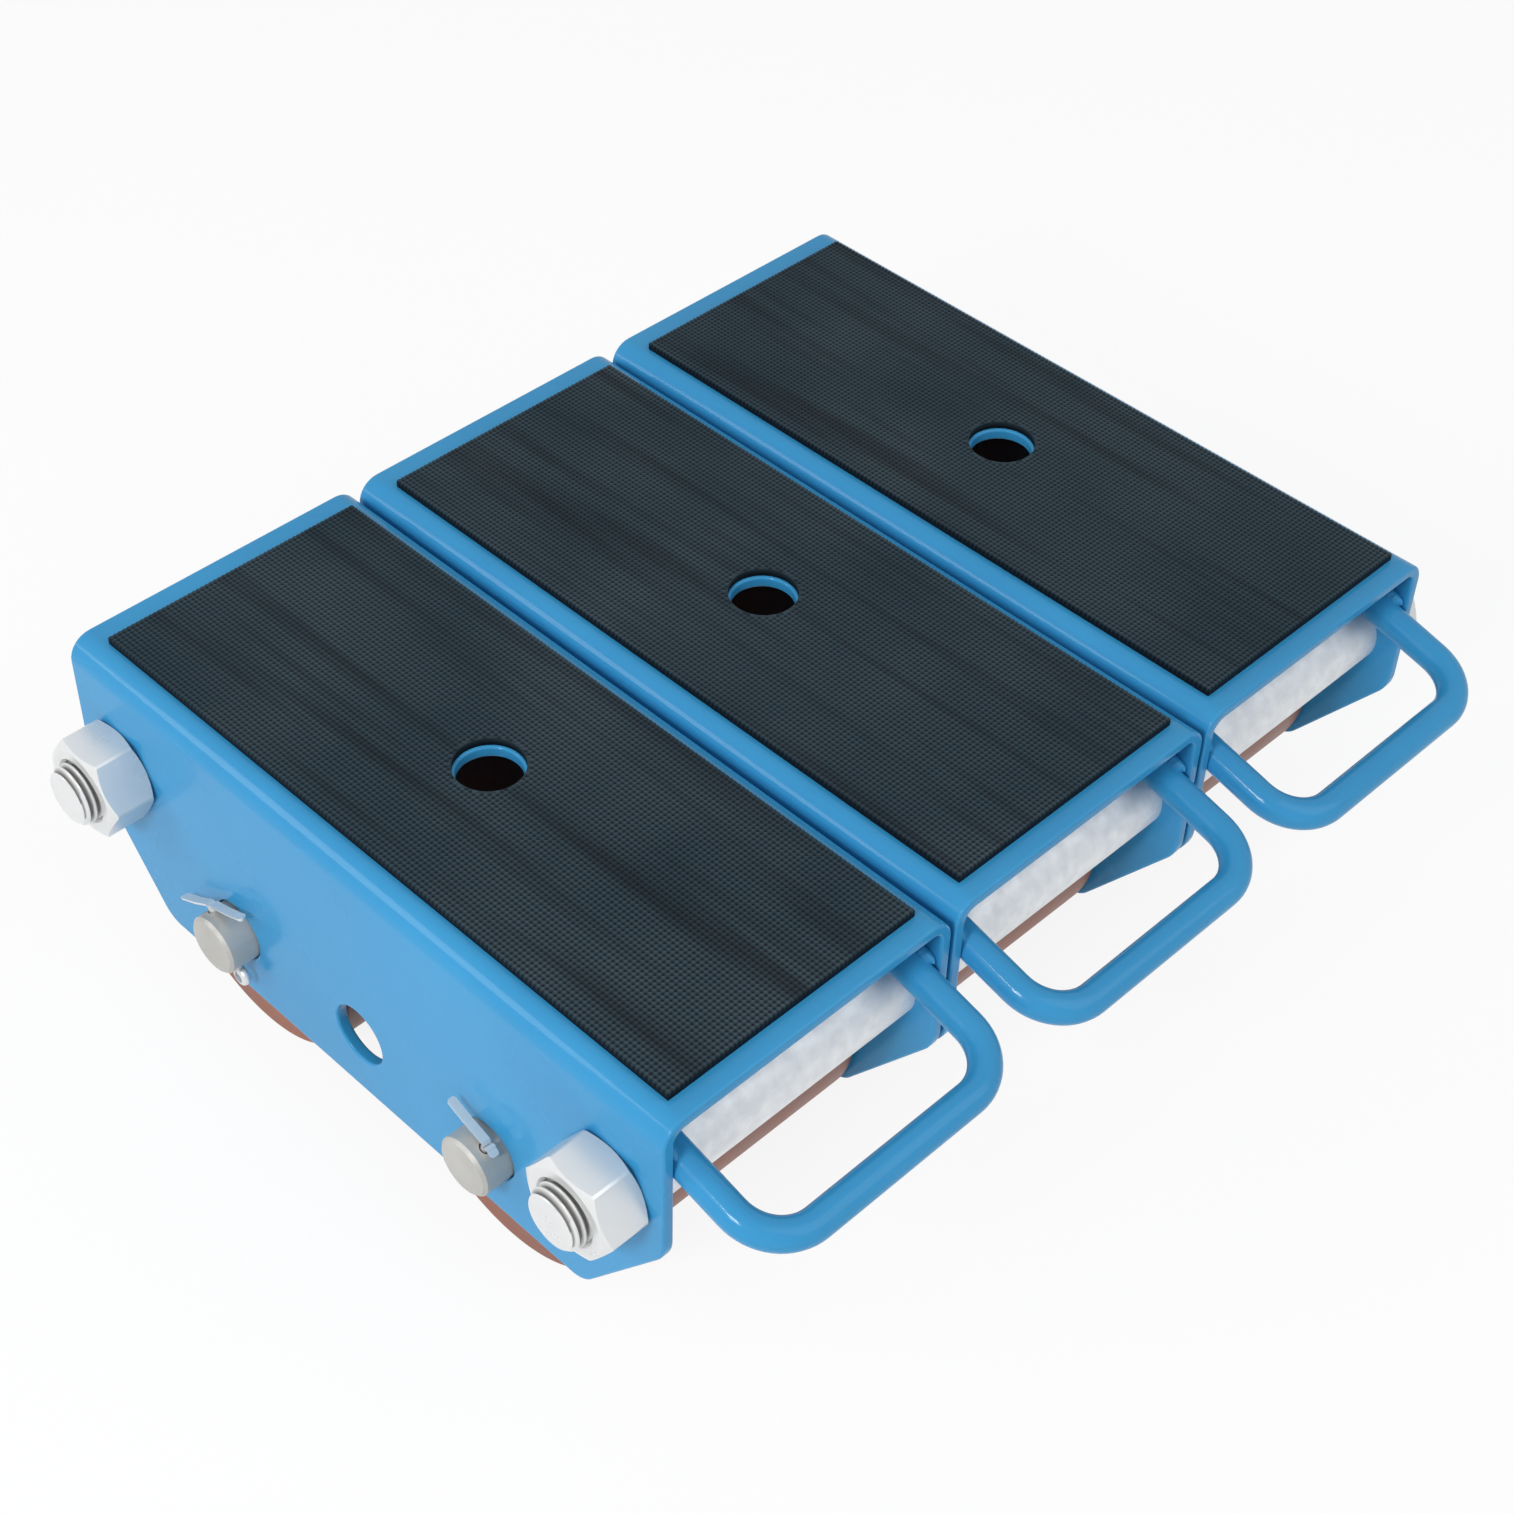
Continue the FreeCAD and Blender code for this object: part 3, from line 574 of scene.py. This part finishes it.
def split_pin(bm, place, legs):
    """One wire along its front leg, shank, eye, shank and rear leg, in the plane of X and Z."""
    side = Vector((0, 1, 0))
    throat = 0.55
    eye_steps = 12
    rings = []
    for hand, tip in zip((1, -1), legs):
        half_path = []
        for along, width in [(tip - back, width) for back, width in pin_tip] + [(tip / 2, 1.0)]:
            spot = Vector((math.sin(pin_spread) * along, 0, pin_crotch + math.cos(pin_spread) * along))
            half_path.append((spot, pin_spread, width))
        for step in range(pin_bend_steps + 1):
            lean = pin_spread * (1 - step / pin_bend_steps)
            spot = Vector((1 - math.cos(lean), 0, math.sin(lean))) * pin_bend
            half_path.append((spot + Vector((0, 0, pin_crotch - pin_bend_drop)), lean, 1.0))
        half_path.append((Vector((0, 0, 0)), 0, 1.0))
        half_path.append((Vector((0, 0, pin_neck - pin_eye_depth)), 0, 1.0))
        eye_start = len(half_path)
        for step in range(eye_steps + 1):
            turn = throat + (math.pi - throat) * step / eye_steps
            spot = Vector((math.sin(turn) * pin_eye, 0, -pin_eye_depth + math.cos(turn) * pin_eye))
            half_path.append((spot, math.pi / 2 - turn, 1.0))
        rows = []
        for index, (spot, lean, width) in enumerate(half_path):
            rise = math.sin(lean) if index >= eye_start else -math.sin(lean)
            outward = Vector((hand * math.cos(lean), 0, rise))
            section = half_round(Vector((hand * spot.x, 0, spot.z)), outward, side, pin_wire * width)
            rows.append([place @ point for point in section])
        rings = rows if hand > 0 else rings + rows[-2::-1]
    skin(bm, rings)


bm = bmesh.new()
for end in ends:
    axis = joint_places["roller_%s_right_spin" % end]
    for hand in (1, -1):
        place = Matrix.Translation((axis.x, pin_reach * hand, axis.z))
        place = place @ Matrix.Rotation(-pin_turns[end], 4, "Y")
        split_pin(bm, place, pin_legs[end])
pins = new_piece("pins", closed_mesh("pins", bm, sharp_angle=50))
pins.data.materials.append(zinc)
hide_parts("split_pins")
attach(pins, "frame")

# Tie rods
# Two 20 mm zinc-plated rods draw the three cassettes together. Both ends carry a rolled 2.5 mm pitch thread,
# and the middle is plain where it lies in the distance tubes.
rod_radius = 10 * mm
rod_end = 187.5 * mm
rod_chamfer = 1.4 * mm
rod_chamfer_slope = 0.9
thread_pitch = 2.5 * mm
thread_depth = 1.35 * mm
thread_root_flat = 1.35
thread_flank_slope = 3.4
thread_start = 158 * mm
thread_runout = 4 * mm
thread_rows = 6
rod_columns = 56
merge_distance = 0.001 * mm


def threaded_half(bm, place):
    """One half of a rod from its middle to its threaded end, its rows of points following the helix."""
    # This vertex layer holds painted shade, full in the thread roots and none on the crests and the plain
    # part
    root = bm.verts.layers.float.get("root") or bm.verts.layers.float.new("root")

    def radius_at(along, turn):
        phase = ((along - rod_end) / thread_pitch - turn / math.tau) % 1.0
        flank = min(1.0, max(0.0, thread_root_flat - abs(phase - 0.5) * thread_flank_slope))
        depth = thread_depth * min(1.0, (along - thread_start) / thread_runout)
        thread = rod_radius - depth * flank
        cone = rod_radius - rod_chamfer + (rod_end - along) * rod_chamfer_slope
        return (thread, flank) if thread < cone else (cone, 0.0)

    rows = round((rod_end - thread_start) / thread_pitch * thread_rows)
    rings = []
    for row in range(-thread_rows, rows + 1):
        ring = []
        for column in range(rod_columns):
            turn = math.tau * column / rod_columns
            along = thread_start + thread_pitch * (row / thread_rows + turn / math.tau)
            along = min(rod_end, max(thread_start, along))
            radius, sunk = radius_at(along, turn)
            ring.append((Vector((radius * math.cos(turn), along, radius * math.sin(turn))), sunk))
        rings.append(ring)
    plain = [[(Vector((rod_radius * math.cos(math.tau * column / rod_columns), along,
                       rod_radius * math.sin(math.tau * column / rod_columns))), 0.0)
              for column in range(rod_columns)] for along in (0, thread_start / 2)]
    loops = []
    for ring in plain + rings:
        loops.append([bm.verts.new(place @ point) for point, sunk in ring])
        for vertex, (point, sunk) in zip(loops[-1], ring):
            vertex[root] = sunk
    for ring, following in zip(loops, loops[1:]):
        for index in range(rod_columns):
            bm.faces.new((ring[index - 1], ring[index], following[index], following[index - 1]))
    bm.faces.new(loops[-1])


for end, hand in (("front", 1), ("rear", -1)):
    bm = bmesh.new()
    spot = Matrix.Translation((middle_x + rod_run * hand, 0, rod_height))
    for half_turn in (0, math.pi):
        threaded_half(bm, spot @ Matrix.Rotation(half_turn, 4, "Z"))
    bmesh.ops.remove_doubles(bm, verts=bm.verts, dist=merge_distance)
    bmesh.ops.dissolve_degenerate(bm, edges=bm.edges, dist=merge_distance)
    rod = new_piece("rod_" + end, closed_mesh("rod_" + end, bm, sharp_angle=38))
    rod.data.materials.append(zinc)
    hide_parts("tie_rod_" + end)
    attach(rod, "frame")

# Distance tubes and spacer washers
# Lengths of steel tube on the tie rods keep the side plates of each cassette apart when the nuts are
# tightened. They are dull zinc-plated, and washers on the rods set the gap between neighbouring cassettes.
dull_zinc, tree, shader = new_finish("dull_zinc")
drift = wire(tree, "Group", {"Tone": (0.79, 0.80, 0.81, 1), "Other Tone": (0.88, 0.89, 0.89, 1),
                             "Scale": 220.0, "Amount": 1.0}, node_tree=tone_drift)
spangle = wire(tree, "Group", {"Scale": 380.0, "Roughness": 0.65}, node_tree=skin_height)
spangle_bump = wire(tree, "Bump", {"Height": spangle.outputs["Height"], "Strength": 0.14,
                                   "Distance": 0.5 * mm})
dull = wire(tree, "MapRange", {"Value": drift.outputs["Mask"], "To Min": 0.62, "To Max": 0.5})
feed(tree, shader, {"Base Color": drift.outputs["Color"], "Roughness": dull.outputs["Result"],
                    "Normal": spangle_bump.outputs["Normal"], "Metallic": 0.45})
for name in ("distance_tubes", "spacer_washers"):
    frame["nodes"][name].material_slots[0].material = dull_zinc

# Tie rod nuts
# Zinc-plated hexagon nuts, 30 mm across flats, with corners chamfered at both faces and a countersunk thread.
# They are tightened on the outer side plates, each turned as its thread happened to stop.
nut_flat = 15 * mm
nut_height = 16 * mm
nut_near = 166.5 * mm
nut_bore = 10.05 * mm
nut_sink = 1.1 * mm
nut_face = 14.25 * mm
nut_corner_share = 0.985
nut_half_steps = 5
nut_turns = {"front": math.radians(55), "rear": math.radians(59)}


def hexagon_nut(bm, place, turn_of_corners):
    """Rings round the nut: countersink, face, chamfer and flats, then the same at its other face."""
    corner = nut_flat / math.cos(math.pi / 6)
    clip = math.acos(nut_flat / (corner * nut_corner_share))
    turns = []
    for side_index in range(6):
        middle = math.pi / 3 * side_index
        turns += [middle + clip * step / nut_half_steps
                  for step in range(-nut_half_steps, nut_half_steps + 1)]
    section_rings = []
    for level in (1, -1):
        face = nut_near + (nut_height if level > 0 else 0)
        rows = [[], [], [], []]
        for turn in turns:
            off_middle = (turn + math.pi / 6) % (math.pi / 3) - math.pi / 6
            flat = nut_flat / math.cos(off_middle)
            cut = (flat - nut_face) / math.sqrt(3)
            rows[0].append((nut_bore, face - level * nut_sink))
            rows[1].append((nut_bore + nut_sink, face))
            rows[2].append((nut_face, face))
            rows[3].append((flat, face - level * cut))
        section_rings += rows if level > 0 else rows[::-1]
    loops = []
    for ring in section_rings:
        loops.append([])
        for turn, (radius, along) in zip(turns, ring):
            angle = turn + turn_of_corners + math.pi / 6
            spot = Vector((radius * math.cos(angle), along, radius * math.sin(angle)))
            loops[-1].append(bm.verts.new(place @ spot))
    for ring, following in zip(loops, loops[1:] + loops[:1]):
        for index in range(len(ring)):
            bm.faces.new((ring[index - 1], ring[index], following[index], following[index - 1]))


bm = bmesh.new()
for end, run in (("front", rod_run), ("rear", -rod_run)):
    for hand in (1, -1):
        spot = Matrix.Translation((middle_x + run, 0, rod_height)) @ Matrix.Diagonal((1, hand, 1, 1))
        hexagon_nut(bm, spot, nut_turns[end])
nuts = new_piece("nuts", closed_mesh("nuts", bm, sharp_angle=25))
nuts.data.materials.append(zinc)
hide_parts("tie_rod_nuts")
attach(nuts, "frame")

# Floor, light and camera
# A plain white studio floor under soft lamps and an even sky, which lights the skate without glare.
# The camera stands above the right front corner of the skate, where the photograph was taken from.
floor_half = 6.0
floor_drop = 0.2 * mm
floor_seen_share = 0.88
lamp_aim = Vector((0, 0, 0.06))
camera_place = (0.42325, -0.46256, 0.66040)
camera_look = Vector((-0.49925, 0.52273, -0.69101))
camera_roll = math.radians(1.931)
camera_lens = 64.422
camera_sensor = 36


def seen_ray(tree):
    """One for rays that see the background, straight or in gloss or glass, and zero for those that light."""
    path = wire(tree, "LightPath").outputs
    seen = wire(tree, "Math", {0: path["Is Camera Ray"], 1: path["Is Glossy Ray"]}, operation="MAXIMUM")
    seen = wire(tree, "Math", {0: seen.outputs[0], 1: path["Is Transmission Ray"]}, operation="MAXIMUM")
    return seen.outputs[0]


floor_mesh = bpy.data.meshes.new("studio_floor")
floor_corners = [(x * floor_half, y * floor_half, 0) for x, y in ((-1, -1), (1, -1), (1, 1), (-1, 1))]
floor_mesh.from_pydata(floor_corners, [], [(0, 1, 2, 3)])
floor = new_piece("studio_floor", floor_mesh)
floor.location.z = -floor_drop
floor_white, tree, shader = new_finish("floor_white")
drift = wire(tree, "Group", {"Tone": (0.93, 0.93, 0.93, 1), "Other Tone": (0.95, 0.95, 0.95, 1),
                             "Scale": 3.0, "Amount": 1.0}, node_tree=tone_drift)
feed(tree, shader, {"Base Color": drift.outputs["Color"], "Roughness": 0.9, "Specular IOR Level": 0.0})
share = wire(tree, "Math", {0: seen_ray(tree), 1: floor_seen_share}, operation="MULTIPLY")
white = wire(tree, "Emission", {"Color": (1, 1, 1, 1), "Strength": 1.0})
mixed = wire(tree, "MixShader", {0: share.outputs[0], 1: shader.outputs["BSDF"],
                                 2: white.outputs["Emission"]})
tree.links.new(mixed.outputs["Shader"], tree.nodes["Material Output"].inputs["Surface"])
floor.data.materials.append(floor_white)

scene = bpy.context.scene
scene.view_settings.view_transform = "Standard"
world = bpy.data.worlds.new("studio")
scene.world = world
world.use_nodes = True
tree = world.node_tree
tree.nodes.clear()
toward = wire(tree, "TexCoord")
parts = wire(tree, "SeparateXYZ", {"Vector": toward.outputs["Generated"]})
height = wire(tree, "MapRange", {"Value": parts.outputs["Z"], "To Min": 0.38, "To Max": 0.46})
level = wire(tree, "Math", {0: height.outputs["Result"], 1: seen_ray(tree)}, operation="MAXIMUM")
soft = wire(tree, "Background", {"Color": (0.98, 0.99, 1.0, 1), "Strength": level.outputs[0]})
wire(tree, "OutputWorld", {"Surface": soft.outputs["Background"]})

for name, spot, width, power in (("key_lamp", (0.32, -1.28, 1.00), 0.35, 11),
                                 ("edge_lamp", (-0.85, -1.15, 0.80), 0.55, 4),
                                 ("fill_lamp", (1.3, 0.5, 1.5), 1.6, 10)):
    lamp = bpy.data.lights.new(name, "AREA")
    lamp.size = width
    lamp.energy = power
    lamp_object = bpy.data.objects.new(name, lamp)
    scene.collection.objects.link(lamp_object)
    lamp_object.location = spot
    lamp_object.rotation_euler = (lamp_aim - Vector(spot)).to_track_quat("-Z", "Y").to_euler()

camera_data = bpy.data.cameras.new("photo_camera")
camera_data.sensor_width = camera_sensor
camera_data.lens = camera_lens
camera = bpy.data.objects.new("photo_camera", camera_data)
scene.collection.objects.link(camera)
look = camera_look.normalized()
level_right = look.cross(Vector((0, 0, 1))).normalized()
level_up = level_right.cross(look)
camera_right = level_right * math.cos(camera_roll) + level_up * math.sin(camera_roll)
camera_up = camera_right.cross(look)
turn = Matrix((camera_right, camera_up, -look)).transposed()
camera.matrix_world = Matrix.Translation(camera_place) @ turn.to_4x4()
scene.camera = camera
